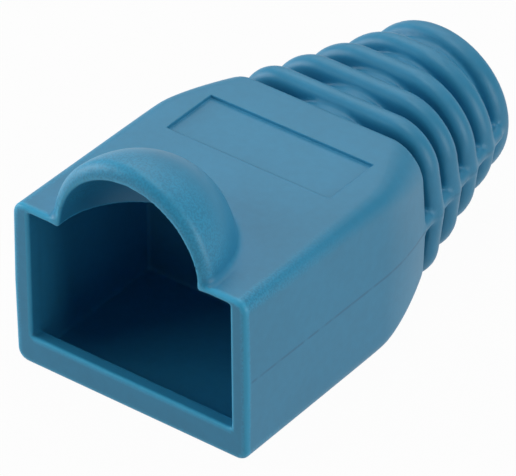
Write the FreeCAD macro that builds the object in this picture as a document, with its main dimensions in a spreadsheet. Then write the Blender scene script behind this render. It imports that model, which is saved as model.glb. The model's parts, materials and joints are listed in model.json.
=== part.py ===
import FreeCAD, Part
import math
import os
import Sketcher

from FreeCAD import Placement, Rotation, Vector

# Slip-on strain relief boot for a modular plug, moulded in one piece from soft plastic.
# X runs across the mouth, Y from the mouth to the cable end and Z up. The model is built
# with its mouth at Y = 0 and its flat base at Z = 0, and the finished boot is then moved
# back by half its length, so that its origin is the middle of its footprint.

doc = FreeCAD.newDocument("strain_relief_boot")
sheet = doc.addObject("Spreadsheet::Sheet", "sizes")

# Driving dimensions in millimetres, with the one angle in degrees
driving_sizes = {
    "plug_width": 11.84,
    "plug_height": 8.15,
    "plug_depth": 8.83,
    "side_wall": 0.98,
    "roof_wall": 0.42,
    "floor_wall": 0.47,
    "lip_rise": 1.13,
    "lip_depth": 0.75,
    "straight_length": 10.9,
    "shoulder_length": 3.9,
    "shoulder_inset": 0.77,
    "shoulder_fall": 0.25,
    "heel_rise": 0.5,
    "corner_radius": 0.85,
    "shoulder_radius": 1.8,
    "mouth_edge_radius": 0.3,
    "draft_angle": 0.9,
    "shoulder_draft_angle": 3.3,
    "latch_room_radius": 4.08,
    "hood_setback": 0.37,
    "hood_side_wall": 0.56,
    "hood_crown_wall": 0.88,
    "hood_back_wall": 1.12,
    "hood_edge_radius": 0.24,
    "label_width": 9.6,
    "label_length": 3.4,
    "label_setback": 2.4,
    "label_depth": 0.18,
    "bore_diameter": 6.2,
    "lead_in_flare": 0.7,
    "lead_in_length": 3.0,
    "core_front_wall": 0.95,
    "core_end_wall": 0.55,
    "ring_step": 0.55,
    "ring_length": 1.18,
    "ring_lift": 0.32,
    "rib_thickness": 1.1,
    "rib_rise": 0.12,
    "rib_crest": 0.2,
    "rib_draft_angle": 8.0,
    "groove_width": 0.81,
    "spine_thickness": 1.1,
    "spine_recess": 0.05,
}

# Number of ribs between the housing and the end ring
rib_count = 4

# The shoulder's middle section: how far along it lies, and how much of the inset, and of
# the fall and rise, the shape has made by then, so that the bend starts softly
bend_place = 0.38
bend_inset_share = 0.24
bend_fall_share = 0.1

# Bevel on the rims of the ribs and the end ring, as a share of the thickness between two
# bevelled edges, and the largest rounding or bevel as a share of the wall or step it is on
bevel_share = 0.36
wall_share = 0.47
step_share = 0.9

# How far parts that are joined reach into each other, and how far cuts reach past a face
overlap = 0.5

# How far from a plane an edge may stray and still count as lying in it
flatness = 1e-4

for row, (alias, number) in enumerate(driving_sizes.items(), start=1):
    sheet.set(f"A{row}", alias)
    sheet.set(f"B{row}", str(number))
    sheet.setAlias(f"B{row}", alias)
doc.recompute()

# Expressions that more than one feature uses
housing_width = "(sizes.plug_width + 2 * sizes.side_wall)"
roof_underside = "(sizes.floor_wall + sizes.plug_height)"
housing_height = f"({roof_underside} + sizes.roof_wall)"
housing_length = "(sizes.straight_length + sizes.shoulder_length)"
lip_top = "(sizes.floor_wall + sizes.lip_rise)"
bore_radius = "sizes.bore_diameter / 2"
core_end_radius = f"({bore_radius} + sizes.core_end_wall)"
ring_radius = f"({core_end_radius} + sizes.ring_step)"
axis_height = f"({ring_radius} + sizes.ring_lift)"
half_width = f"({housing_width} / 2)"
above_axis = f"({housing_height} - {axis_height})"
rear_half_width = f"({half_width} - sizes.shoulder_inset)"
rear_above = f"({above_axis} - sizes.shoulder_fall)"
rear_below = f"({axis_height} - sizes.heel_rise)"
rib_below = f"({axis_height} - sizes.rib_rise)"
rib_pitch = "(sizes.rib_thickness + sizes.groove_width)"
ring_start = f"({housing_length} + {rib_count} * {rib_pitch} + sizes.groove_width)"
overall_length = f"({ring_start} + sizes.ring_length)"
hood_half_width = "(sizes.latch_room_radius + sizes.hood_side_wall)"
hood_reach = "(sizes.latch_room_radius + sizes.hood_back_wall)"
hood_rise = "(sizes.latch_room_radius + sizes.hood_crown_wall)"
rib_bevel = f"sizes.rib_thickness * {bevel_share}"
ring_bevel = f"min(sizes.ring_length * {bevel_share}; sizes.ring_step * {step_share})"
hood_rounding = f"min(sizes.hood_edge_radius; sizes.hood_side_wall * {wall_share})"


def worth(expression):
    """Value that an expression on the sheet has now."""
    return float(sheet.evalExpression(expression.replace("sizes.", "")))


def between(first, last, share):
    """Expression for the size that lies at a share of the way from one size to another."""
    return f"(({first}) + (({last}) - ({first})) * {share})"


def origin_plane(body, role):
    """One of a body's own three origin planes."""
    for feature in body.Origin.OriginFeatures:
        if feature.Role == role:
            return feature
    raise RuntimeError(f"{body.Label} has no {role}")


def cross_section(body, name, station):
    """Empty sketch across the boot, at a distance behind the mouth."""
    sketch = body.newObject("Sketcher::SketchObject", name)
    sketch.AttachmentSupport = [(origin_plane(body, "XZ_Plane"), "")]
    sketch.MapMode = "FlatFace"
    sketch.setExpression("AttachmentOffset.Base.z", f"-({station})")
    return sketch


def bind(sketch, constraint, name, expression):
    """Add a dimension to a sketch, name it and bind it to the sheet."""
    number = sketch.addConstraint(constraint)
    sketch.renameConstraint(number, name)
    sketch.setExpression(f"Constraints.{name}", expression)


def arc(centre, radius, start, end):
    """Arc of a circle in the sketch plane, between two angles in radians."""
    circle = Part.Circle(Vector(centre[0], centre[1], 0), Vector(0, 0, 1), radius)
    return Part.ArcOfCircle(circle, start, end)


def line(start, end):
    """Straight line in the sketch plane."""
    return Part.LineSegment(Vector(start[0], start[1], 0), Vector(end[0], end[1], 0))


def moulded_section(body, name, station, half, above, below, corner, draft):
    """Rounded rectangle, widest at the parting line, whose sides lean in by the draft."""
    sketch = cross_section(body, name, station)
    side = worth(half)
    top = worth(above)
    base = worth(below)
    radius = worth(corner)
    middle = worth(axis_height)
    lean = math.radians(worth(draft))
    reach = side - radius / math.cos(lean)
    upper_x = reach - (top - radius) * math.tan(lean)
    lower_x = reach - (base - radius) * math.tan(lean)
    upper_y = middle + top - radius
    lower_y = middle - base + radius
    quarter = math.pi / 2
    half_turn = math.pi

    bottom_right = arc((lower_x, lower_y), radius, -quarter, -lean)
    top_right = arc((upper_x, upper_y), radius, lean, quarter)
    top_left = arc((-upper_x, upper_y), radius, quarter, half_turn - lean)
    bottom_left = arc((-lower_x, lower_y), radius, half_turn + lean, half_turn + quarter)
    foot = math.cos(lean) * radius
    depth = math.sin(lean) * radius
    sketch.addGeometry([
        line((-lower_x, lower_y - radius), (lower_x, lower_y - radius)),
        bottom_right,
        line((lower_x + foot, lower_y - depth), (side, middle)),
        line((side, middle), (upper_x + foot, upper_y + depth)),
        top_right,
        line((upper_x, upper_y + radius), (-upper_x, upper_y + radius)),
        top_left,
        line((-upper_x - foot, upper_y + depth), (-side, middle)),
        line((-side, middle), (-lower_x - foot, lower_y - depth)),
        bottom_left,
    ], False)

    # In a constraint, point 1 of a line or arc is its start and point 2 its end
    for first, second in ((0, 1), (1, 2), (3, 4), (4, 5), (5, 6), (6, 7), (8, 9), (9, 0)):
        sketch.addConstraint(Sketcher.Constraint("Tangent", first, 2, second, 1))
    for first, second in ((2, 3), (7, 8)):
        sketch.addConstraint(Sketcher.Constraint("Coincident", first, 2, second, 1))
    sketch.addConstraint(Sketcher.Constraint("Horizontal", 0))
    sketch.addConstraint(Sketcher.Constraint("Horizontal", 5))
    for other in (4, 6, 9):
        sketch.addConstraint(Sketcher.Constraint("Equal", 1, other))

    # Geometry -1 is the sketch's own X axis, and its point 1 is the origin
    sketch_sizes = (
        ("right", Sketcher.Constraint("DistanceX", -1, 1, 2, 2, side), half),
        ("left", Sketcher.Constraint("DistanceX", 7, 2, -1, 1, side), half),
        ("right_height", Sketcher.Constraint("DistanceY", -1, 1, 2, 2, middle), axis_height),
        ("left_height", Sketcher.Constraint("DistanceY", -1, 1, 7, 2, middle), axis_height),
        ("above", Sketcher.Constraint("DistanceY", 2, 2, 5, 1, top), above),
        ("below", Sketcher.Constraint("DistanceY", 0, 2, 2, 2, base), below),
        ("corner", Sketcher.Constraint("Radius", 1, radius), corner),
        ("lean_low_right", Sketcher.Constraint("Angle", 2, quarter - lean), f"90 - {draft}"),
        ("lean_high_right", Sketcher.Constraint("Angle", 3, quarter + lean), f"90 + {draft}"),
        ("lean_high_left", Sketcher.Constraint("Angle", 7, -quarter - lean), f"-90 - {draft}"),
        ("lean_low_left", Sketcher.Constraint("Angle", 8, lean - quarter), f"{draft} - 90"),
    )
    for label, constraint, expression in sketch_sizes:
        bind(sketch, constraint, label, expression)
    return sketch


def edges_at(shape, stations):
    """Names of the edges that lie wholly in one of several planes across the boot."""
    names = []
    for number, edge in enumerate(shape.Edges, start=1):
        box = edge.BoundBox
        for station in stations:
            if abs(box.YMin - station) < flatness and abs(box.YMax - station) < flatness:
                names.append(f"Edge{number}")
    return names


def top_of(shape, edge_name):
    """Height of an edge's highest point."""
    return shape.getElement(edge_name).BoundBox.ZMax


# Housing: a straight block with rounded corners, then shoulders that draw in to the tail
housing = doc.addObject("PartDesign::Body", "housing")
mouth = moulded_section(
    housing, "mouth_section", "0", half_width, above_axis, axis_height,
    "sizes.corner_radius", "sizes.draft_angle")
block = housing.newObject("PartDesign::Pad", "block")
block.Profile = mouth
block.Reversed = True
block.setExpression("Length", "sizes.straight_length")
doc.recompute()

mouth_edge = housing.newObject("PartDesign::Fillet", "mouth_edge")
mouth_edge.Base = (block, edges_at(block.Shape, [0]))
mouth_edge.setExpression("Radius", "sizes.mouth_edge_radius")
doc.recompute()

shoulder_front = moulded_section(
    housing, "shoulder_front", "sizes.straight_length",
    half_width, above_axis, axis_height, "sizes.corner_radius", "sizes.draft_angle")
shoulder_middle = moulded_section(
    housing, "shoulder_middle",
    between("sizes.straight_length", housing_length, bend_place),
    between(half_width, rear_half_width, bend_inset_share),
    between(above_axis, rear_above, bend_fall_share),
    between(axis_height, rear_below, bend_fall_share),
    between("sizes.corner_radius", "sizes.shoulder_radius", bend_place),
    between("sizes.draft_angle", "sizes.shoulder_draft_angle", bend_place))
shoulder_rear = moulded_section(
    housing, "shoulder_rear", housing_length,
    rear_half_width, rear_above, rear_below, "sizes.shoulder_radius", "sizes.shoulder_draft_angle")
shoulder = housing.newObject("PartDesign::AdditiveLoft", "shoulder")
shoulder.Profile = shoulder_front
shoulder.Sections = [shoulder_middle, shoulder_rear]
shoulder.Ruled = False
doc.recompute()

# Tail core and end ring: one turned form round the cable axis
core = doc.addObject("PartDesign::Body", "tail_core")
core_profile = core.newObject("Sketcher::SketchObject", "core_profile")
core_profile.AttachmentSupport = [(origin_plane(core, "YZ_Plane"), "")]
core_profile.MapMode = "FlatFace"
core_profile.setExpression("AttachmentOffset.Base.y", axis_height)
core_front_radius = f"({bore_radius} + sizes.core_front_wall)"
core_start = worth(f"{housing_length} - {overlap}")
core_end = worth(overall_length)
ring_face = worth(ring_start)
ring_reach = worth(ring_radius)
core_front_reach = worth(core_front_radius)
core_end_reach = worth(core_end_radius)
corners = (
    (core_start, 0),
    (core_end, 0),
    (core_end, ring_reach),
    (ring_face, ring_reach),
    (ring_face, core_end_reach),
    (core_start, core_front_reach),
)
core_profile.addGeometry(
    [line(corners[k], corners[(k + 1) % len(corners)]) for k in range(len(corners))], False)
for k in range(len(corners)):
    core_profile.addConstraint(Sketcher.Constraint("Coincident", k, 2, (k + 1) % len(corners), 1))
core_profile.addConstraint(Sketcher.Constraint("PointOnObject", 0, 1, -1))
core_profile.addConstraint(Sketcher.Constraint("Horizontal", 0))
core_profile.addConstraint(Sketcher.Constraint("Vertical", 1))
core_profile.addConstraint(Sketcher.Constraint("Horizontal", 2))
core_profile.addConstraint(Sketcher.Constraint("Vertical", 3))
core_profile.addConstraint(Sketcher.Constraint("Vertical", 5))
core_sizes = (
    ("start", Sketcher.Constraint("DistanceX", -1, 1, 0, 1, core_start), f"{housing_length} - {overlap}"),
    ("finish", Sketcher.Constraint("DistanceX", -1, 1, 1, 1, core_end), overall_length),
    ("ring_face", Sketcher.Constraint("DistanceX", -1, 1, 3, 1, ring_face), ring_start),
    ("ring_reach", Sketcher.Constraint("DistanceY", 1, 1, 1, 2, ring_reach), ring_radius),
    ("end_reach", Sketcher.Constraint("DistanceY", -1, 1, 3, 2, core_end_reach), core_end_radius),
    ("front_reach", Sketcher.Constraint("DistanceY", -1, 1, 4, 2, core_front_reach), core_front_radius),
)
for label, constraint, expression in core_sizes:
    bind(core_profile, constraint, label, expression)
turned = core.newObject("PartDesign::Revolution", "turned_core")
turned.Profile = core_profile
turned.ReferenceAxis = (core_profile, ["H_Axis"])
turned.Angle = 360
doc.recompute()
ring_edge = core.newObject("PartDesign::Chamfer", "ring_edge")
ring_edge.Base = (turned, [
    name for name in edges_at(turned.Shape, [ring_face, core_end])
    if top_of(turned.Shape, name) > worth(f"{axis_height} + {core_end_radius}") + flatness])
ring_edge.setExpression("Size", ring_bevel)
doc.recompute()

# Ribs: each is a slab across the cable whose outline lies between the housing's rear
# outline and the round end ring, with both edges of its rim bevelled. Their sides lean in
# steeply from the parting line, where they stand out a little as a crest.
ribs = []
for number in range(rib_count):
    start = f"({housing_length} + sizes.groove_width + {number} * {rib_pitch})"
    share = (f"({start} + sizes.rib_thickness / 2 - {housing_length})"
             f" / ({ring_start} + sizes.ring_length / 2 - {housing_length})")
    rib = doc.addObject("PartDesign::Body", f"rib_{number + 1}")
    outline = moulded_section(
        rib, f"rib_outline_{number + 1}", start,
        f"({between(rear_half_width, ring_radius, share)} + sizes.rib_crest)",
        between(rear_above, ring_radius, share),
        between(rib_below, ring_radius, share),
        between("sizes.shoulder_radius", ring_radius, share), "sizes.rib_draft_angle")
    slab = rib.newObject("PartDesign::Pad", f"rib_slab_{number + 1}")
    slab.Profile = outline
    slab.Reversed = True
    slab.setExpression("Length", "sizes.rib_thickness")
    doc.recompute()
    front = worth(start)
    rim = rib.newObject("PartDesign::Chamfer", f"rib_rim_{number + 1}")
    rim.Base = (slab, edges_at(slab.Shape, [front, front + worth("sizes.rib_thickness")]))
    rim.setExpression("Size", rib_bevel)
    ribs.append(rib)
doc.recompute()

# Spine: the flat web at the parting line that ties the ribs together on both sides
spine = doc.addObject("PartDesign::Body", "side_spine")
spine_plan = spine.newObject("Sketcher::SketchObject", "spine_plan")
spine_plan.AttachmentSupport = [(origin_plane(spine, "XY_Plane"), "")]
spine_plan.MapMode = "FlatFace"
spine_plan.setExpression("AttachmentOffset.Base.z", axis_height)
spine_front = worth(housing_length)
spine_back = worth(ring_start) + overlap
wide = worth(rear_half_width)
narrow = worth(f"{ring_radius} - sizes.spine_recess")
plan_corners = ((-wide, spine_front), (wide, spine_front), (narrow, spine_back), (-narrow, spine_back))
spine_plan.addGeometry([line(plan_corners[k], plan_corners[(k + 1) % 4]) for k in range(4)], False)
for k in range(4):
    spine_plan.addConstraint(Sketcher.Constraint("Coincident", k, 2, (k + 1) % 4, 1))
spine_plan.addConstraint(Sketcher.Constraint("Symmetric", 0, 1, 0, 2, -2))
spine_plan.addConstraint(Sketcher.Constraint("Symmetric", 2, 1, 2, 2, -2))
spine_sizes = (
    ("front", Sketcher.Constraint("DistanceY", -1, 1, 0, 2, spine_front), housing_length),
    ("back", Sketcher.Constraint("DistanceY", -1, 1, 2, 1, spine_back), f"{ring_start} + {overlap}"),
    ("wide", Sketcher.Constraint("DistanceX", 0, 1, 0, 2, 2 * wide), f"2 * ({rear_half_width})"),
    ("narrow", Sketcher.Constraint("DistanceX", 2, 2, 2, 1, 2 * narrow),
     f"2 * ({ring_radius} - sizes.spine_recess)"),
)
for label, constraint, expression in spine_sizes:
    bind(spine_plan, constraint, label, expression)
web = spine.newObject("PartDesign::Pad", "spine_web")
web.Profile = spine_plan
web.Midplane = True
web.setExpression("Length", "sizes.spine_thickness")
doc.recompute()

# Hood over the plug's latch: half of an egg shape with its blunt, open end at the mouth,
# round a room that is half of a ball. Both have their poles on the line of the cable.
pole_axes = Rotation(Vector(0, 0, -1), Vector(-1, 0, 0), Vector(0, 1, 0), "ZXY")
latch_room = doc.addObject("Part::Sphere", "latch_room")
latch_room.setExpression("Radius", "sizes.latch_room_radius")
hood_outside = doc.addObject("Part::Ellipsoid", "hood_outside")
hood_outside.setExpression("Radius1", hood_reach)
hood_outside.setExpression("Radius2", hood_rise)
hood_outside.setExpression("Radius3", hood_half_width)
for round_form in (latch_room, hood_outside):
    round_form.Placement = Placement(Vector(0, 0, 0), pole_axes)
    round_form.setExpression("Placement.Base.y", "sizes.hood_setback")
    round_form.setExpression("Placement.Base.z", roof_underside)
front_block = doc.addObject("Part::Box", "ahead_of_mouth")
front_block.setExpression("Length", f"2 * {hood_half_width}")
front_block.setExpression("Width", hood_reach)
front_block.setExpression("Height", f"2 * {hood_rise}")
front_block.setExpression("Placement.Base.x", f"-{hood_half_width}")
front_block.setExpression("Placement.Base.y", f"-{hood_reach}")
front_block.setExpression("Placement.Base.z", f"{roof_underside} - {hood_rise}")
half_egg = doc.addObject("Part::Cut", "half_egg")
half_egg.Base = hood_outside
half_egg.Tool = front_block
doc.recompute()
hood = doc.addObject("PartDesign::Body", "hood")
hood.BaseFeature = half_egg
doc.recompute()
hood_edge = hood.newObject("PartDesign::Fillet", "hood_edge")
hood_edge.Base = (hood.Group[0], edges_at(half_egg.Shape, [0]))
hood_edge.setExpression("Radius", hood_rounding)
doc.recompute()

# Space for the plug: a room behind a raised lip, with the mouth above the lip
plug_room = doc.addObject("Part::Box", "plug_room")
plug_room.setExpression("Length", "sizes.plug_width")
plug_room.setExpression("Width", "sizes.plug_depth - sizes.lip_depth")
plug_room.setExpression("Height", "sizes.plug_height")
plug_room.setExpression("Placement.Base.x", "-sizes.plug_width / 2")
plug_room.setExpression("Placement.Base.y", "sizes.lip_depth")
plug_room.setExpression("Placement.Base.z", "sizes.floor_wall")
mouth_gap = doc.addObject("Part::Box", "mouth_gap")
mouth_gap.setExpression("Length", "sizes.plug_width")
mouth_gap.setExpression("Width", f"sizes.lip_depth + 2 * {overlap}")
mouth_gap.setExpression("Height", "sizes.plug_height - sizes.lip_rise")
mouth_gap.setExpression("Placement.Base.x", "-sizes.plug_width / 2")
mouth_gap.setExpression("Placement.Base.y", f"-{overlap}")
mouth_gap.setExpression("Placement.Base.z", lip_top)

# Cable way: a funnel behind the plug, then a round bore out through the tail
along_cable = Rotation(Vector(1, 0, 0), -90)
lead_in = doc.addObject("Part::Cone", "lead_in")
lead_in.Placement = Placement(Vector(0, 0, 0), along_cable)
lead_in.setExpression("Radius1", f"{bore_radius} + sizes.lead_in_flare")
lead_in.setExpression("Radius2", bore_radius)
lead_in.setExpression("Height", "sizes.lead_in_length")
lead_in.setExpression("Placement.Base.y", "sizes.plug_depth")
lead_in.setExpression("Placement.Base.z", axis_height)
cable_bore = doc.addObject("Part::Cylinder", "cable_bore")
cable_bore.Placement = Placement(Vector(0, 0, 0), along_cable)
cable_bore.setExpression("Radius", bore_radius)
cable_bore.setExpression("Height", f"{overall_length} - sizes.plug_depth + 2 * {overlap}")
cable_bore.setExpression("Placement.Base.y", f"sizes.plug_depth - {overlap}")
cable_bore.setExpression("Placement.Base.z", axis_height)

# Shallow bare recess in the roof, where a label or colour code can go
label_recess = doc.addObject("Part::Box", "label_recess")
label_recess.setExpression("Length", "sizes.label_width")
label_recess.setExpression("Width", "sizes.label_length")
label_recess.setExpression("Height", f"sizes.label_depth + {overlap}")
label_recess.setExpression("Placement.Base.x", "-sizes.label_width / 2")
label_recess.setExpression("Placement.Base.y", f"{housing_length} - sizes.label_setback - sizes.label_length")
label_recess.setExpression("Placement.Base.z", f"{housing_height} - sizes.label_depth")

# The moulding: everything solid joined into one, less everything hollow
skin = doc.addObject("Part::MultiFuse", "skin")
skin.Shapes = [housing, hood, core, spine] + ribs
hollows = doc.addObject("Part::MultiFuse", "hollows")
hollows.Shapes = [plug_room, mouth_gap, latch_room, lead_in, cable_bore, label_recess]
moulding = doc.addObject("Part::Cut", "moulding")
moulding.Base = skin
moulding.Tool = hollows
doc.recompute()

# The boot itself: the moulding with the rim inside the hood bevelled
boot = doc.addObject("PartDesign::Body", "boot")
boot.Label = "boot"
boot.BaseFeature = moulding
doc.recompute()
roof_height = worth(housing_height)
crown_height = worth(f"{roof_underside} + sizes.latch_room_radius")
inner_edge = boot.newObject("PartDesign::Chamfer", "inner_edge")
inner_edge.Base = (boot.Group[0], [
    name for name in edges_at(moulding.Shape, [0])
    if roof_height < top_of(moulding.Shape, name) <= crown_height])
inner_edge.setExpression("Size", hood_rounding)
boot.setExpression("Placement.Base.y", f"-{overall_length} / 2")
doc.recompute()

failed = [item.Name for item in doc.Objects if "Invalid" in item.State or "Error" in item.State]
if failed:
    raise RuntimeError(f"features that did not build: {failed}")

os.makedirs("parts", exist_ok=True)
for node in (boot,):
    shape = node.Shape
    if shape.isNull() or not shape.isValid():
        raise RuntimeError(f"{node.Label} has no valid shape")
    if len(shape.Solids) != 1:
        raise RuntimeError(f"{node.Label} is in {len(shape.Solids)} pieces and should be one")
    shape.exportStep(os.path.join("parts", f"{node.Label}.step"))
    centre = shape.Solids[0].CenterOfMass
    print(node.Label, "volume", round(shape.Volume, 2), "box", shape.BoundBox)
    print("centre of mass", round(centre.x, 3), round(centre.y, 3), round(centre.z, 3))
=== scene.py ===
# %% [markdown]
# A strain relief boot for a network plug is one soft PVC moulding: a box that slips over
# the back of the plug, a hood that shields the plug's latch, and a ribbed sleeve that bends
# with the cable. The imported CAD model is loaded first. It fixes the size and the place of
# everything that follows. Lengths are in millimetres, times MM where Blender wants metres.

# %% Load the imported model
import json
import math

import bpy
import numpy as np
from mathutils import Matrix, Vector


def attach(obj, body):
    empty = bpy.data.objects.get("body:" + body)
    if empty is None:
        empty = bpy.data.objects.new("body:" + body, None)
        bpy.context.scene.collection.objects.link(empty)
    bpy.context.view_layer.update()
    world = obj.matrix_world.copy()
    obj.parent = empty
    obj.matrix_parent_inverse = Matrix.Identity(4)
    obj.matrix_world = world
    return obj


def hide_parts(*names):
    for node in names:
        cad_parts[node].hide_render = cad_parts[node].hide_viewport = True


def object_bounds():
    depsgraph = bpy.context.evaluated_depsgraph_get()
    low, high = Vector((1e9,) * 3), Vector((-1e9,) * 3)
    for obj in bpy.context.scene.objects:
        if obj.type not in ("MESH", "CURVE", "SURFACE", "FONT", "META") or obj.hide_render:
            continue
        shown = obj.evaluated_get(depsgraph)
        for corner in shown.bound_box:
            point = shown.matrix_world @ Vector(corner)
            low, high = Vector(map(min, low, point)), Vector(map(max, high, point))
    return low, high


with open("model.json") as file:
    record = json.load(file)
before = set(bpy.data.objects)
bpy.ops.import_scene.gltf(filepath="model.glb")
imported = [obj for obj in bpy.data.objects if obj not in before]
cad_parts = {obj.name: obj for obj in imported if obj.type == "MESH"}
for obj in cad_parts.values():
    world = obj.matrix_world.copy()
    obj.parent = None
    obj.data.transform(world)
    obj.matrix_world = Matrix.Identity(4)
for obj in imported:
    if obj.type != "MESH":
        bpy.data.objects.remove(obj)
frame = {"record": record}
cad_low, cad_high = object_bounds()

MM = 0.001
cad_size = (cad_high - cad_low) / MM
print("CAD box in mm:", [round(side, 2) for side in cad_size])

# %% [markdown]
# The boot is drawn as it lies on the bench: X across the mouth, Y from the mouth to the
# cable end and Z up, with the mouth at Y = 0 and the flat base at Z = 0. Its overall sizes
# come from the CAD box and from the record's bore, so the finished skin and the solid
# agree. Every other size is named in the cell that first needs it. A few of them lie a
# tenth of a millimetre or two closer to the photograph than the solid's.

# %% Overall sizes in millimetres
record_mounts = {mount["name"]: mount for mount in frame["record"]["mounts"]}
bore_radius = record_mounts["cable_bore"]["dims"]["r_mm"]
axis_height = record_mounts["cable_bore"]["pos_m"][2] / MM
overall_length = cad_size.y
half_width = cad_size.x / 2
straight_length = 10.9
housing_length = 14.8
print("housing", housing_length, "mm, sleeve", round(overall_length - housing_length, 2), "mm")

# %% [markdown]
# The moulding can't be made as one grid of two parameters, because the hood, the box, the
# ribs and the bore branch into each other and every junction is a soft fillet. A boolean of
# separate pieces would leave hard creases there. So the form is written as a distance
# field: a formula that gives, for a point in space, roughly how far it lies outside the
# plastic, below zero inside it. Joining and cutting are then a minimum and a maximum, and a
# smooth minimum or a rounded maximum gives the fillets that the mould gives the real part.


# %% Joining and cutting rounded forms
def joined(first, second, fillet):
    """Smooth minimum: first or second, whichever is less, lowered where they are within
    a fillet of each other by (fillet - gap) squared over four fillets."""
    gap = np.abs(first - second)
    return np.minimum(first, second) - np.maximum(fillet - gap, 0) ** 2 / (4 * fillet)


def kept_inside(first, second, rounding):
    """Rounded maximum: inside both forms, with the edge between them turned as an arc.
    It is the length of the two distances, each grown by the rounding, less the rounding."""
    grown_first = first + rounding
    grown_second = second + rounding
    outside = np.hypot(np.maximum(grown_first, 0), np.maximum(grown_second, 0))
    return outside + np.minimum(np.maximum(grown_first, grown_second), 0) - rounding


def cut_from(solid, hollow, rounding):
    """The solid without the hollow, with the rim of the cut rounded."""
    return kept_inside(solid, -hollow, rounding)


print("a 0.3 mm fillet fills its corner", round(-joined(0.0, 0.0, 0.3), 3), "mm deep")

# %% [markdown]
# Two simple forms carry nearly everything: a rounded rectangle, for outlines that are seen
# along the cable, and a rounded box, for the rooms inside. Both are the distance from a
# smaller form with sharp corners, less the radius. Sizes that change along the boot are
# blended between their values at two stations.


# %% Rounded outlines and boxes
def between(first, last, share):
    """Value at a share of the way from first to last."""
    return first + (last - first) * share


def rounded_outline(across, up, half, above, below, radius, slope):
    """Distance from a rounded rectangle round the cable axis: the length of what sticks
    out past its inner, radius-smaller rectangle, less the radius. The sides lean in from
    the parting line by the slope."""
    height = np.where(up > 0, above, below)
    over_x = np.abs(across) - (half - np.abs(up) * slope - radius)
    over_z = np.abs(up) - (height - radius)
    corner = np.hypot(np.maximum(over_x, 0), np.maximum(over_z, 0))
    return corner + np.minimum(np.maximum(over_x, over_z), 0) - radius


def box_distance(x, y, z, low, high, radius):
    """Distance from a box with rounded edges, given by its low and high corners: the
    length of what sticks out past the box that is smaller by the radius, less the radius."""
    over = [
        np.abs(place - (first + last) / 2) - ((last - first) / 2 - radius)
        for place, first, last in zip((x, y, z), low, high)]
    outside = np.sqrt(sum(np.maximum(side, 0) ** 2 for side in over))
    inside = np.minimum(np.maximum(np.maximum(over[0], over[1]), over[2]), 0)
    return outside + inside - radius


above_box = box_distance(0.0, 0.0, 2.0, (-1, -1, -1), (1, 1, 1), 0.1)
print("the point 1 mm above a rounded box lies", round(float(above_box), 2), "mm from it")

# %% [markdown]
# The housing is a straight box for most of its length, with corners that are crisper at the
# mouth. Its shoulders then draw in to the sleeve along a soft bend, while the corners grow
# rounder. The bend is a curve of the second degree, as a draughtsman's spline through three
# sections gives, and its start is eased over half a millimetre to either side.

# %% The housing
roof_height = 9.04
mouth_corner_radius = 0.62
corner_radius = 0.85
shoulder_radius = 1.8
shoulder_inset = 0.77
shoulder_half_width = half_width - shoulder_inset
shoulder_fall = 0.08
heel_rise = 0.5
even_inset = 0.35           # share of the inset that grows evenly, the rest as a square
even_fall = 0.15            # the same for the fall of the roof and the rise of the heel
easing = 0.25               # share of the shoulder's length over which the bend starts
furthest_share = 1.1        # the bend runs on a little past the housing's end
draft_slope = math.tan(math.radians(0.9))
shoulder_slope = math.tan(math.radians(3.3))
mouth_edge = 0.22
rear_edge = 0.16


def housing_form(x, y, up):
    """Box with rounded corners whose half width, height and corner radius follow Y. The
    share along the shoulder is half the sum of the plain share and the root of its square
    plus a quarter of the easing squared, so the bend starts without a corner."""
    start = (y - straight_length) / (housing_length - straight_length)
    along = np.clip((start + np.sqrt(start ** 2 + easing ** 2 / 4)) / 2, 0, furthest_share)
    inset = even_inset * along + (1 - even_inset) * along ** 2
    fall = even_fall * along + (1 - even_fall) * along ** 2
    corner = between(mouth_corner_radius, corner_radius, np.clip(y / straight_length, 0, 1))
    outline = rounded_outline(
        x, up,
        half_width - shoulder_inset * inset,
        roof_height - axis_height - shoulder_fall * fall,
        axis_height - heel_rise * fall,
        between(corner, shoulder_radius, along),
        between(draft_slope, shoulder_slope, along))
    with_mouth = kept_inside(outline, -y, mouth_edge)
    return kept_inside(with_mouth, y - housing_length, rear_edge)


print("roof", roof_height, "mm high, shoulders drawn in by", shoulder_inset, "mm")

# %% [markdown]
# The hood keeps the cable from snagging the plug's latch. It is half an egg on the roof,
# open towards the mouth, with a well rounded rim. A sphere that is scaled and cut would
# look the same, but the egg's formula joins the field directly and takes its fillet.

# %% The hood
roof_underside = 8.62
hood_setback = 0.37         # from the mouth back to the egg's middle
hood_half_width = 4.64
hood_reach = 5.2
hood_rise = cad_size.z - roof_underside
hood_outer_edge = 0.6
least_steepness = 1e-6      # keeps the egg's middle from a division by nothing


def hood_form(x, y, z):
    """Half of an egg shape, open towards the mouth. The distance from an ellipsoid is
    taken as k (k - 1) / g, with k the length of the point over the three radii and g its
    length over their squares."""
    radii = np.array([hood_half_width, hood_reach, hood_rise])
    offset = (x, y - hood_setback, z - roof_underside)
    stretched = np.sqrt(sum((side / radius) ** 2 for side, radius in zip(offset, radii)))
    steepness = np.sqrt(sum((side / radius ** 2) ** 2 for side, radius in zip(offset, radii)))
    egg = stretched * (stretched - 1) / np.maximum(steepness, least_steepness)
    return kept_inside(egg, -y, hood_outer_edge)


print("hood", 2 * hood_half_width, "mm wide and", round(hood_rise, 2), "mm high")

# %% [markdown]
# The sleeve bends because it is mostly air: thin ribs stand on a slim core, and only a flat
# spine on each side, at the parting line, ties them together. The core is a cone round the
# bore. The spine is thin at its face and swells towards its foot, as a moulded web does.

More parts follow.
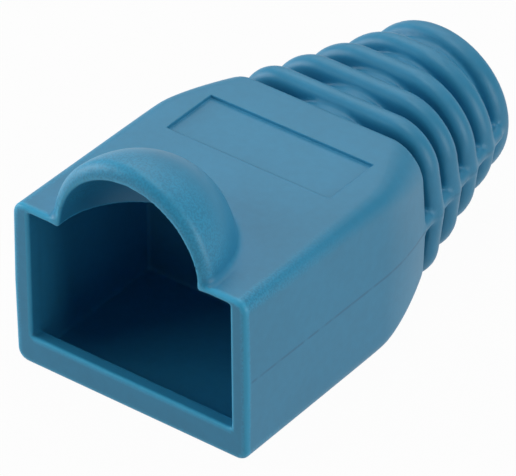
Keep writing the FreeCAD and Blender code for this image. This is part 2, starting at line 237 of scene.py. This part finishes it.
# %% Core and spines of the sleeve
ring_length = 1.18
ring_start = overall_length - ring_length
core_front_radius = 4.08
core_end_radius = 3.68
core_side_squeeze = 1.06    # how much slimmer the core is across than upwards
core_setback = 0.2          # from the boot's end back to the core's
spine_end_half_width = 4.45
spine_setback = 0.4
spine_face_half = 0.2       # half the spine's thickness at its face
spine_swell_above = 0.75    # what the half thickness gains per millimetre of depth
spine_swell_below = 0.7
spine_most_above = 0.42
spine_most_below = 0.5
spine_end_slant = 0.6
spine_edge = 0.12
sleeve_root = 0.6           # how far core and spines reach into the housing
sleeve_end_edge = 0.1
rib_slope = math.tan(math.radians(8))


def along_sleeve(y):
    """Share of the way from the housing's end to the end ring, from 0 to 1."""
    return np.clip((y - housing_length) / (ring_start - housing_length), 0, 1)


def sleeve_piece(form, y, setback):
    """The form, kept between its root inside the housing and its end before the ring's."""
    rooted = kept_inside(form, housing_length - sleeve_root - y, sleeve_end_edge)
    return kept_inside(rooted, y - overall_length + setback, sleeve_end_edge)


def core_form(x, y, up):
    """Cone whose radius falls along the sleeve, a little slimmer across than upwards."""
    radius = between(core_front_radius, core_end_radius, along_sleeve(y))
    return sleeve_piece(np.hypot(x * core_side_squeeze, up) - radius, y, core_setback)


def spine_form(x, y, up):
    """Bar on each side. Its half thickness is that of its face plus a share of the depth
    below the face, up to a limit, and the face slants away past the ring's start."""
    face = between(shoulder_half_width, spine_end_half_width, along_sleeve(y))
    side = np.abs(x) - face + np.maximum(y - ring_start, 0) * spine_end_slant
    half_above = np.minimum(spine_face_half - spine_swell_above * side, spine_most_above)
    half_below = np.minimum(spine_face_half - spine_swell_below * side, spine_most_below)
    past_half = np.where(up > 0, up - half_above, -up - half_below)
    bar = kept_inside(side + np.abs(up) * rib_slope, past_half, spine_edge)
    return sleeve_piece(bar, y, spine_setback)


print("core from", core_front_radius, "to", core_end_radius, "mm in radius")

# %% [markdown]
# Each rib is a slab whose rim is turned to nearly a half round. The ribs' outline changes
# from the housing's rounded rectangle to the round end ring, a little from rib to rib. The
# ring is thicker, because it takes the pull when the boot is drawn back over the cable.

# %% Ribs and end ring of the sleeve
rib_count = 4
rib_thickness = 1.1
groove_width = 0.81
rib_rise = 0.03             # from the base up to the ribs' undersides
rib_crest = 0.2             # what the ribs stand out at the sides
rib_crown = 0.1             # and what they stand up on top
rib_rim = 0.52
ring_radius = 4.2
ring_flattening = 1.018
ring_rim = 0.5
rib_fillet = 0.1
spine_fillet = 0.2


def rib_form(x, y, up, number):
    """Slab whose outline is blended between the housing and the end ring."""
    rib_start = housing_length + groove_width + number * (rib_thickness + groove_width)
    middle = rib_start + rib_thickness / 2
    part = (middle - housing_length) / (ring_start + ring_length / 2 - housing_length)
    outline = rounded_outline(
        x, up,
        between(shoulder_half_width, ring_radius, part) + rib_crest,
        between(roof_height - axis_height - shoulder_fall, ring_radius, part) + rib_crown,
        between(axis_height - rib_rise, ring_radius, part),
        between(shoulder_radius, ring_radius, part), rib_slope)
    return kept_inside(outline, np.abs(y - middle) - rib_thickness / 2, rib_rim)


def ring_form(x, y, up):
    """Short cylinder with rounded rims, its upper half a little flattened."""
    radial = np.hypot(x, np.where(up > 0, up * ring_flattening, up))
    past_middle = np.abs(y - (ring_start + overall_length) / 2)
    return kept_inside(radial - ring_radius, past_middle - ring_length / 2, ring_rim)


def sleeve_form(x, y, up):
    """Core, ribs, end ring and side spines, joined with the fillets of the mould."""
    ribs = ring_form(x, y, up)
    for number in range(rib_count):
        ribs = np.minimum(ribs, rib_form(x, y, up, number))
    ribbed_core = joined(core_form(x, y, up), ribs, rib_fillet)
    return joined(ribbed_core, spine_form(x, y, up), spine_fillet)


print(rib_count, "ribs and a ring of", 2 * ring_radius, "mm across")

# %% [markdown]
# Everything that goes into the boot is cut from it: the room for the plug with its raised
# lip, the half ball under the hood for the latch, and the funnel and the bore for the
# cable. In a mould these are the pins that the plastic flows round.

# %% The rooms inside
side_wall = 0.98
plug_half_width = half_width - side_wall
plug_depth = 8.83
floor_height = 0.47
plug_ceiling = 8.7
plug_corner = 0.12
lip_top = 1.6
lip_depth = 0.75
past_lip = 1.0              # the two rooms overlap by this much
before_mouth = -2.0
latch_room_radius = 4.08
lead_in_radius = 3.8
lead_in_length = 3.0
lead_in_end = plug_depth + lead_in_length
bore_overlap = 0.5          # how far the cable's way starts inside the plug room


def plug_room_form(x, y, z):
    """Rounded box behind the lip."""
    return box_distance(
        x, y, z, (-plug_half_width, lip_depth, floor_height),
        (plug_half_width, plug_depth, plug_ceiling), plug_corner)


def mouth_gap_form(x, y, z):
    """Rounded box over the lip, open to the front."""
    return box_distance(
        x, y, z, (-plug_half_width, before_mouth, lip_top),
        (plug_half_width, lip_depth + past_lip, plug_ceiling), plug_corner)


def latch_room_form(x, y, z):
    """Ball whose middle lies in the mouth, at the height of the roof's underside."""
    reach = np.sqrt(x ** 2 + (y - hood_setback) ** 2 + (z - roof_underside) ** 2)
    return reach - latch_room_radius


def cable_way_form(x, y, up):
    """Bore along the axis, and a cone that widens towards the plug."""
    radial = np.hypot(x, up)
    share = np.clip((y - plug_depth) / (lead_in_end - plug_depth), 0, 1)
    widest = np.minimum(radial - between(lead_in_radius, bore_radius, share), radial - bore_radius)
    return np.maximum(widest, plug_depth - bore_overlap - y)


print("plug room", round(2 * plug_half_width, 2), "mm wide and", plug_depth, "mm deep")

# %% [markdown]
# The roof has a shallow recess for a label, left bare here. The whole moulding is put
# together in the order of the fillets: housing, hood and sleeve are joined, then the rooms
# are cut from them, and the recess is cut last, so that its rim stays crisp.

# %% The label recess and the whole moulding
label_half_width = 4.8
label_front = 9.0
label_rear = 12.4
label_depth = 0.18
label_floor = roof_height - label_depth
over_roof = 1.0
label_rim = 0.02
hood_fillet = 0.3
sleeve_fillet = 0.22
mouth_rim = 0.1
plug_rim = 0.08
hood_inner_edge = 0.12
bore_rim = 0.12


def moulding(x, y, z):
    """Distance of points from the skin of the boot, in millimetres, below zero inside."""
    up = z - axis_height
    skin = joined(housing_form(x, y, up), hood_form(x, y, z), hood_fillet)
    skin = joined(skin, sleeve_form(x, y, up), sleeve_fillet)
    label = box_distance(
        x, y, z, (-label_half_width, label_front, label_floor),
        (label_half_width, label_rear, roof_height + over_roof), label_rim)
    boot = cut_from(skin, mouth_gap_form(x, y, z), mouth_rim)
    boot = cut_from(boot, plug_room_form(x, y, z), plug_rim)
    boot = cut_from(boot, latch_room_form(x, y, z), hood_inner_edge)
    boot = cut_from(boot, cable_way_form(x, y, up), bore_rim)
    return cut_from(boot, label, label_rim)


print("the axis lies", round(float(moulding(0.0, 20.0, axis_height)), 2), "mm from the plastic")

# %% [markdown]
# A surface net turns the field into a mesh. The space is cut into small cells. Each cell
# that the skin passes through gets one vertex, at the mean of the points where the skin
# crosses the cell's edges, and each grid edge that the skin crosses gets one quad between
# the four cells around it. It is all done on whole arrays. A small ball is the test: closed
# like that, a net of quads has two quads fewer than vertices.


# %% Surface net
def crossings_along(planes, field, inside, axis):
    """Grid edges along an axis that the skin crosses, the crossing points, placed by
    linear interpolation, and whether each edge starts inside the plastic."""
    near = [slice(None)] * 3
    far = [slice(None)] * 3
    near[axis] = slice(None, -1)
    far[axis] = slice(1, None)
    crossed = np.argwhere(inside[tuple(near)] != inside[tuple(far)])
    ahead = crossed.copy()
    ahead[:, axis] += 1
    value = field[tuple(crossed.T)]
    share = value / (value - field[tuple(ahead.T)])
    point = np.stack([planes[side][crossed[:, side]] for side in range(3)], 1)
    step = planes[axis][ahead[:, axis]] - planes[axis][crossed[:, axis]]
    point[:, axis] += share * step
    return crossed, point, inside[tuple(crossed.T)]


def cell_behind(crossed, first, second, back_first, back_second):
    """The cell that lies the given steps back from each edge along two axes."""
    cell_place = crossed.copy()
    cell_place[:, first] -= back_first
    cell_place[:, second] -= back_second
    return tuple(cell_place.T)


def surface_net(planes, field):
    """Vertices and quads of the surface where the field is zero, on a grid with the given
    planes. A cell's vertex is the mean of the crossings on its 12 edges, and each quad
    faces the side where the field is positive."""
    inside = field < 0
    cells = tuple(size - 1 for size in field.shape)
    total = np.zeros(cells + (3,))
    count = np.zeros(cells)
    found = [crossings_along(planes, field, inside, axis) for axis in range(3)]
    around = ((0, 0), (1, 0), (1, 1), (0, 1))      # the four cells round an edge, in turn
    for axis, (crossed, point, _) in enumerate(found):
        for back in around:
            cell_place = cell_behind(crossed, (axis + 1) % 3, (axis + 2) % 3, *back)
            np.add.at(total, cell_place, point)
            np.add.at(count, cell_place, 1)
    used = count > 0
    number = np.full(cells, -1)
    number[used] = np.arange(used.sum())
    quads = []
    for axis, (crossed, _, starts_inside) in enumerate(found):
        quad = np.stack([
            number[cell_behind(crossed, (axis + 1) % 3, (axis + 2) % 3, *back)]
            for back in around], 1)
        quad[~starts_inside] = quad[~starts_inside][:, ::-1]
        quads.append(quad)
    return total[used] / count[used][:, None], np.concatenate(quads)


test_planes = np.linspace(-1.5, 1.5, 16)
test_ball = np.sqrt(sum(side ** 2 for side in np.meshgrid(*[test_planes] * 3))) - 1
test_points, test_quads = surface_net((test_planes,) * 3, test_ball)
print("test ball:", len(test_points), "vertices and", len(test_quads), "quads")

# %% [markdown]
# The grid is finer where the skin needs it: in front, for the rims of the mouth, and in
# narrow zones along the rim of the label recess, which would otherwise shade as a soft
# band. The step is chosen so that the skin stays under 200,000 triangles.

# %% The grid and its field
cell = 0.17
mouth_cell = 0.12
mouth_zone = 0.6            # the finer cells in front end here
rim_cell = 0.03
near_rim = 0.06             # half the width of the zones along the label's rim
past_skin = 0.31            # margin of the grid round the boot


def planes_between(stops, steps):
    """Grid planes that run through the stops in turn, with about the given steps."""
    runs = [
        np.linspace(first, last, max(2, round((last - first) / step) + 1))[:-1]
        for first, last, step in zip(stops[:-1], stops[1:], steps)]
    return np.concatenate(runs + [np.array([stops[-1]])])


half_planes = planes_between(
    (0.0, label_half_width - near_rim, label_half_width + near_rim, half_width + past_skin),
    (cell, rim_cell, cell))
across_planes = np.concatenate([-half_planes[:0:-1], half_planes])
along_planes = planes_between(
    (-past_skin, mouth_zone, label_front - near_rim, label_front + near_rim,
     label_rear - near_rim, label_rear + near_rim, overall_length + past_skin),
    (mouth_cell, cell, rim_cell, cell, rim_cell, cell))
height_planes = planes_between(
    (-past_skin, label_floor - near_rim, label_floor + near_rim, roof_height - near_rim / 2,
     roof_height + near_rim, cad_size.z + past_skin),
    (cell, rim_cell, near_rim, rim_cell, cell))
grid_field = moulding(
    across_planes[:, None, None], along_planes[None, :, None], height_planes[None, None, :])
print("grid of", " x ".join(str(size) for size in grid_field.shape), "points")

# %% [markdown]
# The net's vertices lie near the skin but not quite on it. Each is drawn onto it along the
# field's slope, three times over, so that the surface shades as smoothly as a polished mould.

# %% The skin's vertices
slope_reach = 0.02
least_squared_slope = 0.2
longest_move = 0.05
drawing_rounds = 3


def drawn_onto_skin(vertices, rounds):
    """Each vertex moved along the field's slope, by value over slope squared, each round."""
    for _ in range(rounds):
        value = moulding(*vertices.T)
        slope = np.stack([
            (moulding(*(vertices + step).T) - moulding(*(vertices - step).T)) / (2 * slope_reach)
            for step in np.eye(3) * slope_reach], 1)
        steep = np.maximum((slope ** 2).sum(1), least_squared_slope)
        move = -(value / steep)[:, None] * slope
        vertices = vertices + np.clip(move, -longest_move, longest_move)
    return vertices


net_vertices, skin_quads = surface_net((across_planes, along_planes, height_planes), grid_field)
skin_points = drawn_onto_skin(net_vertices, drawing_rounds)
print("skin:", len(skin_points), "vertices and", len(skin_quads), "quads")

# %% [markdown]
# The field also tells where the finish changes. Its second differences measure how convex
# the skin is: edges near the mouth rub against everything the boot meets and turn pale and
# speckled, and so does the hood's crest. The sharpest edges near the mouth also get a painted
# highlight, paler still, where the light catches them. The depth below the uncut outer form
# tells the outside of the walls from their inside, because the seam left by the two halves
# of the mould shows only outside.


# %% How convex the skin is
def convexity(points, reach):
    """Sum of the skin's curvatures per millimetre, from the field's second differences."""
    middle = moulding(*points.T)
    total = sum(
        moulding(*(points + step).T) + moulding(*(points - step).T) - 2 * middle
        for step in np.eye(3) * reach)
    return total / reach ** 2


def ramp(value, start, end):
    """Straight rise from 0 at the start to 1 at the end, flat on either side."""
    return np.clip((value - start) / (end - start), 0, 1)


convexity_reach = 0.15
convex = convexity(skin_points, convexity_reach)
print("most convex edge:", round(float(convex.max()), 1), "per mm")

# %% [markdown]
# Each share runs from 0 to 1 over the vertices. The pairs below say where it starts to
# rise and where it is full: in curvature per millimetre, or in millimetres from the mouth,
# above the base or below the outer form.

# %% Where the skin is worn, where its edges get a painted highlight, and outside
worn_convexity = (0.5, 1.1)
highlight_convexity = (1.6, 3.4)
towards_mouth = (9.0, 0.5)
up_the_hood = (roof_height + 0.3, roof_height + 0.9)
hood_front = (2.8, 1.2)
outside_depth = (-0.4, -0.1)
seam_from_mouth = (0.25, 0.4)
seam_into_sleeve = (14.4, 15.2)
sleeve_seam = 0.3

skin_x, from_mouth, skin_z = skin_points.T
above_axis = skin_z - axis_height
outer_form = np.minimum(
    housing_form(skin_x, from_mouth, above_axis), sleeve_form(skin_x, from_mouth, above_axis))
outer_skin = ramp(outer_form, *outside_depth)
near_mouth = ramp(from_mouth, *towards_mouth)
edge_wear = ramp(convex, *worn_convexity) * near_mouth
hood_wear = ramp(skin_z, *up_the_hood) * ramp(from_mouth, *hood_front)
worn_share = np.maximum(edge_wear, hood_wear) * np.maximum(outer_skin, hood_wear)
# Painted highlight: the sharpest edges near the mouth are coloured paler, standing in for the
# light they catch.
painted_highlight_share = ramp(convex, *highlight_convexity) * near_mouth
seam_fade = between(1, sleeve_seam, ramp(from_mouth, *seam_into_sleeve))
seam_share = outer_skin * ramp(from_mouth, *seam_from_mouth) * seam_fade
print("worn vertices:", int((worn_share > 0.5).sum()))

# %% [markdown]
# The arrays go into a mesh in one call each. All faces are shaded smooth, because the
# rounded edges are in the mesh itself. The vertices are moved back by half the boot's
# length, to the CAD model's origin, and the finished skin stands for the CAD solid.

# %% The boot as a Blender mesh
low_corner = np.array(cad_low) / MM
high_corner = np.array(cad_high) / MM
skin_vertices = skin_points - (0, overall_length / 2, 0)
skin_vertices = np.clip(skin_vertices, low_corner, high_corner)
loop_starts = np.arange(0, skin_quads.size, 4, dtype=np.int32)

boot_mesh = bpy.data.meshes.new("boot_skin")
boot_mesh.vertices.add(len(skin_vertices))
boot_mesh.vertices.foreach_set("co", (skin_vertices * MM).astype(np.float32).ravel())
boot_mesh.loops.add(skin_quads.size)
boot_mesh.loops.foreach_set("vertex_index", skin_quads.astype(np.int32).ravel())
boot_mesh.polygons.add(len(skin_quads))
boot_mesh.polygons.foreach_set("loop_start", loop_starts)
boot_mesh.polygons.foreach_set("use_smooth", np.ones(len(skin_quads), dtype=bool))
boot_mesh.update(calc_edges=True)
boot_mesh.validate()
# The second of these shares carries the painted edge highlight.
for attribute_name, shares in (
        ("worn", worn_share), ("painted_edge_highlight", painted_highlight_share), ("seam_side", seam_share)):
    attribute = boot_mesh.attributes.new(attribute_name, "FLOAT", "POINT")
    attribute.data.foreach_set("value", shares.astype(np.float32))

boot_skin = bpy.data.objects.new("boot_skin", boot_mesh)
bpy.context.scene.collection.objects.link(boot_skin)
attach(boot_skin, "root")
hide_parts("boot")
print("mesh:", len(boot_mesh.polygons), "faces")

# %% [markdown]
# A procedural finish is a small net of nodes, and writing each node's settings and links
# line by line hides what it does. These helpers make one node in one call, with its inputs
# given as values or as the sockets of other nodes.


# %% Helpers for nodes
def add_node(tree, kind, inputs, **settings):
    """New node with its settings, and its inputs given as values or as linked sockets."""
    made = tree.nodes.new(kind)
    for name, value in settings.items():
        setattr(made, name, value)
    for name, value in inputs.items():
        if isinstance(value, bpy.types.NodeSocket):
            tree.links.new(value, made.inputs[name])
        else:
            made.inputs[name].default_value = value
    return made


def math_socket(tree, operation, first, second):
    """Result of a two-value math node."""
    inputs = {0: first, 1: second}
    return add_node(tree, "ShaderNodeMath", inputs, operation=operation).outputs[0]


def noise_socket(tree, place, size, detail):
    """Noise about 0.5 whose blobs are about the given size in metres."""
    inputs = {"Vector": place, "Scale": 1 / size, "Detail": detail}
    return add_node(tree, "ShaderNodeTexNoise", inputs).outputs[0]


def ramp_socket(tree, value, start, end):
    """The same straight rise as ramp, as a node."""
    inputs = {"Value": value, "From Min": start, "From Max": end}
    return add_node(tree, "ShaderNodeMapRange", inputs).outputs[0]


def attribute_socket(tree, name):
    """Value that the mesh holds at each vertex under the given name."""
    return add_node(tree, "ShaderNodeAttribute", {}, attribute_name=name).outputs["Fac"]


print("node helpers ready, for", bpy.app.version_string)

# %% [markdown]
# Soft PVC comes from the mould with a satin skin that is never quite even. The pigment is a
# little deeper here and there, the eroded steel leaves a grain finer than a tenth of a
# millimetre, the worn edges are dusted with pale specks, and a hairline runs along both
# sides where the halves of the mould met. The sharpest edges near the mouth also get a
# painted highlight, a paler colour that stands in for the light they catch. Each of these is
# a mask from 0 to 1, made by one node group out of the object's own coordinates and the
# three attributes of the mesh.

# %% Masks of the finish
FINISH_MASKS = ("Tone", "Grain", "Specks", "PaintedHighlight", "Seam")
cloud_size = 4 * MM
mottle_size = 0.45 * MM
cloud_share = 0.6
grain_size = 0.09 * MM
speck_size = 0.1 * MM
speck_noise = (0.4, 0.6)
hairline_half_widths = (0.085 * MM, 0.04 * MM)
break_size = 0.7 * MM
break_noise = (0.3, 0.5)
noise_detail = 2
mottle_detail = 3

moulded_finish = bpy.data.node_groups.new("moulded_finish", "ShaderNodeTree")
for mask_name in FINISH_MASKS:
    moulded_finish.interface.new_socket(
        mask_name, in_out="OUTPUT", socket_type="NodeSocketFloat")
place = add_node(moulded_finish, "ShaderNodeTexCoord", {}).outputs["Object"]
height = add_node(moulded_finish, "ShaderNodeSeparateXYZ", {"Vector": place}).outputs["Z"]

clouds = noise_socket(moulded_finish, place, cloud_size, noise_detail)
mottle = noise_socket(moulded_finish, place, mottle_size, mottle_detail)
tone = math_socket(
    moulded_finish, "ADD",
    math_socket(moulded_finish, "MULTIPLY", clouds, cloud_share),
    math_socket(moulded_finish, "MULTIPLY", mottle, 1 - cloud_share))
grain = noise_socket(moulded_finish, place, grain_size, noise_detail)
dust = noise_socket(moulded_finish, place, speck_size, noise_detail)
flecks = ramp_socket(moulded_finish, dust, *speck_noise)
specks = math_socket(
    moulded_finish, "MULTIPLY", flecks, attribute_socket(moulded_finish, "worn"))

from_seam = math_socket(moulded_finish, "SUBTRACT", height, axis_height * MM)
off_seam = math_socket(moulded_finish, "ABSOLUTE", from_seam, 0)
hairline = ramp_socket(moulded_finish, off_seam, *hairline_half_widths)
outer_hairline = math_socket(
    moulded_finish, "MULTIPLY", hairline, attribute_socket(moulded_finish, "seam_side"))
breaks = noise_socket(moulded_finish, place, break_size, noise_detail)
unbroken = ramp_socket(moulded_finish, breaks, *break_noise)
seam = math_socket(moulded_finish, "MULTIPLY", outer_hairline, unbroken)

# The fourth mask is the painted edge highlight.
masks = (tone, grain, specks, attribute_socket(moulded_finish, "painted_edge_highlight"), seam)
add_node(moulded_finish, "NodeGroupOutput", dict(zip(FINISH_MASKS, masks)))
print("finish masks:", ", ".join(FINISH_MASKS))

# %% [markdown]
# The material puts the masks to use. The colour runs between two close blues by the tone,
# then towards a paler blue on the edges, as a painted highlight, and on the specks, and a
# deeper one on the hairline. The grain and the specks raise the surface by a few thousandths
# of a millimetre.
# PVC reflects about as much as window glass, but its grain spreads the reflection widely.

# %% Material of the moulding
deep_blue = (0.0245, 0.231, 0.405, 1)
light_blue = (0.0275, 0.259, 0.455, 1)
# Paler blue painted on the sharpest edges near the mouth, as a painted highlight.
painted_highlight_blue = (0.045, 0.43, 0.7, 1)
speck_blue = (0.04, 0.4, 0.66, 1)
seam_blue = (0.014, 0.16, 0.31, 1)
tone_range = (0.35, 0.65)
painted_highlight_strength = 0.85
speck_strength = 0.5
seam_strength = 0.85
relief_strength = 0.5
relief_height = 0.008 * MM


def mixed_colour(tree, share, first, second):
    """Colour at a share of the way from first to second."""
    inputs = {0: share, 6: first, 7: second}
    return add_node(tree, "ShaderNodeMix", inputs, data_type="RGBA").outputs[2]


soft_pvc = bpy.data.materials.new("soft_pvc_blue")
soft_pvc.use_nodes = True
tree = soft_pvc.node_tree
finish = add_node(tree, "ShaderNodeGroup", {}, node_tree=moulded_finish).outputs
colour = mixed_colour(
    tree, ramp_socket(tree, finish["Tone"], *tone_range), deep_blue, light_blue)
# The first of these is a painted highlight on the edges; the specks and the hairline are the
# skin's own.
for mask_name, strength, blue in (
        ("PaintedHighlight", painted_highlight_strength, painted_highlight_blue), ("Specks", speck_strength, speck_blue),
        ("Seam", seam_strength, seam_blue)):
    share = math_socket(tree, "MULTIPLY", finish[mask_name], strength)
    colour = mixed_colour(tree, share, colour, blue)
relief = math_socket(tree, "ADD", finish["Grain"], finish["Specks"])
bump = add_node(
    tree, "ShaderNodeBump",
    {"Height": relief, "Strength": relief_strength, "Distance": relief_height})
shader = tree.nodes["Principled BSDF"]
shader.inputs["Roughness"].default_value = 0.45
shader.inputs["Specular IOR Level"].default_value = 0.5
tree.links.new(colour, shader.inputs["Base Color"])
tree.links.new(bump.outputs["Normal"], shader.inputs["Normal"])
boot_mesh.materials.append(soft_pvc)
print("material", soft_pvc.name, "with", len(tree.nodes), "nodes")

# %% [markdown]
# The picture is taken from the front right, well above the boot, with a long lens from
# about 30 cm away, so that the long edges stay nearly parallel. The place and the three
# angles come from fitting the boot's edges to the edges that the photograph shows.

# %% Camera
camera_place = Vector((154.80, -201.375, 185.12)) * MM
camera_yaw = 0.661338
camera_pitch = 0.622382
camera_roll = 0.009198
focal_pixels = 6585.49
picture_width = 516

forward = Vector((
    -math.sin(camera_yaw) * math.cos(camera_pitch),
    math.cos(camera_yaw) * math.cos(camera_pitch),
    -math.sin(camera_pitch)))
level_right = Vector((math.cos(camera_yaw), math.sin(camera_yaw), 0))
level_down = forward.cross(level_right)
right = level_right * math.cos(camera_roll) + level_down * math.sin(camera_roll)
down = level_down * math.cos(camera_roll) - level_right * math.sin(camera_roll)
camera_turn = Matrix((right, -down, -forward)).transposed().to_quaternion()
camera_data = bpy.data.cameras.new("camera")
camera_data.lens = focal_pixels / picture_width * camera_data.sensor_width
camera_data.clip_start = 10 * MM
camera = bpy.data.objects.new("camera", camera_data)
camera.matrix_world = Matrix.LocRotScale(camera_place, camera_turn, None)
bpy.context.scene.collection.objects.link(camera)
bpy.context.scene.camera = camera
print("lens:", round(camera_data.lens), "mm on a sensor of", camera_data.sensor_width, "mm")

# %% [markdown]
# The boot is lit as small goods are for a catalogue: soft boxes of 12 cm all round, 20 cm
# away, and a white table. One box hangs overhead, two stand low at the left and the right,
# and two behind skim the roof and give it its pale sheen. A sixth, at the left front, only
# lightens the front face, so it is kept out of reflections. Little light enters the mouth,
# which leaves the plug room dark.

# %% Soft boxes
box_reach = 200 * MM
box_width = 120 * MM
aim_height = 4 * MM


def soft_box(name, turn, rise, watts):
    """Square lamp seen from the boot at a turn from +X and a rise, both in degrees."""
    level = math.cos(math.radians(rise))
    towards = Vector((
        level * math.cos(math.radians(turn)), level * math.sin(math.radians(turn)),
        math.sin(math.radians(rise))))
    data = bpy.data.lights.new(name, "AREA")
    data.shape = "SQUARE"
    data.size = box_width
    data.energy = watts
    lamp = bpy.data.objects.new(name, data)
    lamp.rotation_mode = "QUATERNION"
    lamp.rotation_quaternion = towards.to_track_quat("Z", "Y")
    lamp.location = towards * box_reach + Vector((0, 0, aim_height))
    bpy.context.scene.collection.objects.link(lamp)
    return lamp


for box_name, turn, rise, watts in (
        ("top_box", 0, 90, 0.128), ("left_box", -160, 10, 0.18), ("right_box", 0, 15, 0.165),
        ("rear_box", 90, 45, 0.04), ("left_rear_box", 135, 45, 0.075),
        ("left_front_box", -135, 20, 0.12)):
    box = soft_box(box_name, turn, rise, watts)
    box.visible_glossy = "front" not in box_name
    print(box_name, "at", watts, "W")

# %% [markdown]
# The white of the table is seen by the camera and in reflections only, where a strength of
# 1 is white. To all other light the table is a plain grey sheet, so it sends just a little
# light back up. A small share of that sheet stays visible, and with it the boot's soft
# shadow.

# %% White table
table_reach = 2.0
table_gap = 0.02 * MM
table_corners = [
    (-table_reach, -table_reach, 0), (table_reach, -table_reach, 0),
    (table_reach, table_reach, 0), (-table_reach, table_reach, 0)]
sheet_grey = (0.5, 0.5, 0.5, 1)
white_share = 0.97


def white_to_eye(tree):
    """1 for rays from the camera, off a glossy surface or through a clear one, else 0."""
    path = add_node(tree, "ShaderNodeLightPath", {}).outputs
    seen = math_socket(tree, "MAXIMUM", path["Is Camera Ray"], path["Is Glossy Ray"])
    return math_socket(tree, "MAXIMUM", seen, path["Is Transmission Ray"])


white_sheet = bpy.data.materials.new("white_sheet")
white_sheet.use_nodes = True
tree = white_sheet.node_tree
sheet = tree.nodes["Principled BSDF"]
sheet.inputs["Base Color"].default_value = sheet_grey
sheet.inputs["Roughness"].default_value = 0.9
white = add_node(tree, "ShaderNodeEmission", {"Strength": 1.0})
veil = math_socket(tree, "MULTIPLY", white_to_eye(tree), white_share)
veiled = add_node(tree, "ShaderNodeMixShader", {0: veil, 1: sheet.outputs[0], 2: white.outputs[0]})
tree.links.new(veiled.outputs[0], tree.nodes["Material Output"].inputs["Surface"])

table_mesh = bpy.data.meshes.new("table")
table_mesh.from_pydata(table_corners, [], [(0, 1, 2, 3)])
table_mesh.materials.append(white_sheet)
table = bpy.data.objects.new("table", table_mesh)
table.location.z = cad_low.z - table_gap
bpy.context.scene.collection.objects.link(table)
print("table", 2 * table_reach, "m wide")

# %% [markdown]
# The room behind the table is white to the camera too. In reflections it is half as bright,
# as a real studio is above its table, and it adds only a trace of light of its own. The
# Standard view shows colours as they are, without a film look.

# %% White room
room_in_reflections = 0.5
room_light = 0.03

room = bpy.data.worlds.new("white_room")
bpy.context.scene.world = room
room.use_nodes = True
tree = room.node_tree
mirrored = math_socket(tree, "MULTIPLY", white_to_eye(tree), room_in_reflections)
to_camera = add_node(tree, "ShaderNodeLightPath", {}).outputs["Is Camera Ray"]
seen_white = math_socket(tree, "MAXIMUM", mirrored, to_camera)
strength = math_socket(tree, "MAXIMUM", seen_white, room_light)
backdrop = tree.nodes["Background"]
backdrop.inputs["Color"].default_value = (1, 1, 1, 1)
tree.links.new(strength, backdrop.inputs["Strength"])
bpy.context.scene.view_settings.view_transform = "Standard"
print("room set, view:", bpy.context.scene.view_settings.view_transform)
